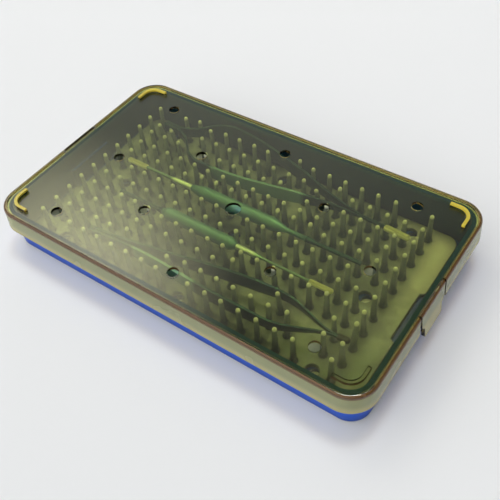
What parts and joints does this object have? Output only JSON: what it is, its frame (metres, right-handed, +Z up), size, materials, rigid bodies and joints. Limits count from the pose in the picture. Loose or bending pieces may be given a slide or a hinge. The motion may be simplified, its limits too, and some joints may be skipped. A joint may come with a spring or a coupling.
{
  "type": "sterilization box",
  "caption": "Shallow blue instrument tray with a clear amber snap lid, a silicone finger mat and forceps and fine handled tools held between its fingers.",
  "frame": {"origin": "middle of the plan, on the underside that the box stands on", "axes": "+X along the long side towards the latch end that the picture shows, +Y to the far long side, +Z up"},
  "size_m": [0.1732, 0.1012, 0.0219],
  "materials": {
    "amber_plastic": "clear amber moulded plastic, glossy",
    "blue_plastic": "opaque blue moulded plastic, satin gloss",
    "mat_silicone": "greyish white silicone, matt",
    "blue_titanium": "blue anodised titanium, satin",
    "yellow_silicone": "translucent yellow silicone tube",
    "dark_silicone": "dark silicone tube"
  },
  "bodies": {
    "base": {"base_tray": "blue_plastic", "silicone_mat": "mat_silicone", "mat_fingers": "mat_silicone"},
    "lid": {"lid_shell": "amber_plastic"},
    "latch_right": {"latch_tongue_right": "amber_plastic"},
    "latch_left": {"latch_tongue_left": "amber_plastic"},
    "wide_forceps": {"wide_forceps_front_arm": "blue_titanium", "wide_forceps_back_arm": "blue_titanium", "wide_forceps_rivet": "blue_titanium", "wide_forceps_tip_guard": "yellow_silicone"},
    "fine_forceps": {"fine_forceps_front_arm": "blue_titanium", "fine_forceps_back_arm": "blue_titanium", "fine_forceps_rivet": "blue_titanium", "fine_forceps_tip_guard": "dark_silicone"},
    "spatula": {"spatula_handle": "blue_titanium", "spatula_working_shaft": "blue_titanium", "spatula_rear_shaft": "blue_titanium", "spatula_tip_guard": "yellow_silicone"},
    "hook": {"hook_handle": "blue_titanium", "hook_working_shaft": "blue_titanium", "hook_rear_shaft": "blue_titanium", "hook_tip_guard": "yellow_silicone"}
  },
  "joints": [
    {"name": "lid_lift", "type": "slide", "parent": "base", "child": "lid", "axis": [0, 0, 1], "range_m": [0, 0.06]},
    {"name": "latch_right_flex", "type": "hinge", "parent": "lid", "child": "latch_right", "pos_m": [0.0845, 0, 0.02025], "axis": [0, -1, 0], "range_deg": [-3, 8], "stiffness_Nm_per_rad": 0.3},
    {"name": "latch_left_flex", "type": "hinge", "parent": "lid", "child": "latch_left", "pos_m": [-0.0845, 0, 0.02025], "axis": [0, 1, 0], "range_deg": [-3, 8], "stiffness_Nm_per_rad": 0.3},
    {"name": "wide_forceps_lift", "type": "slide", "parent": "base", "child": "wide_forceps", "axis": [0, 0, 1], "range_m": [0, 0.0012]},
    {"name": "fine_forceps_lift", "type": "slide", "parent": "base", "child": "fine_forceps", "axis": [0, 0, 1], "range_m": [0, 0.003]},
    {"name": "spatula_lift", "type": "slide", "parent": "base", "child": "spatula", "axis": [0, 0, 1], "range_m": [0, 0.0015]},
    {"name": "hook_lift", "type": "slide", "parent": "base", "child": "hook", "axis": [0, 0, 1], "range_m": [0, 0.0018]}
  ]
}
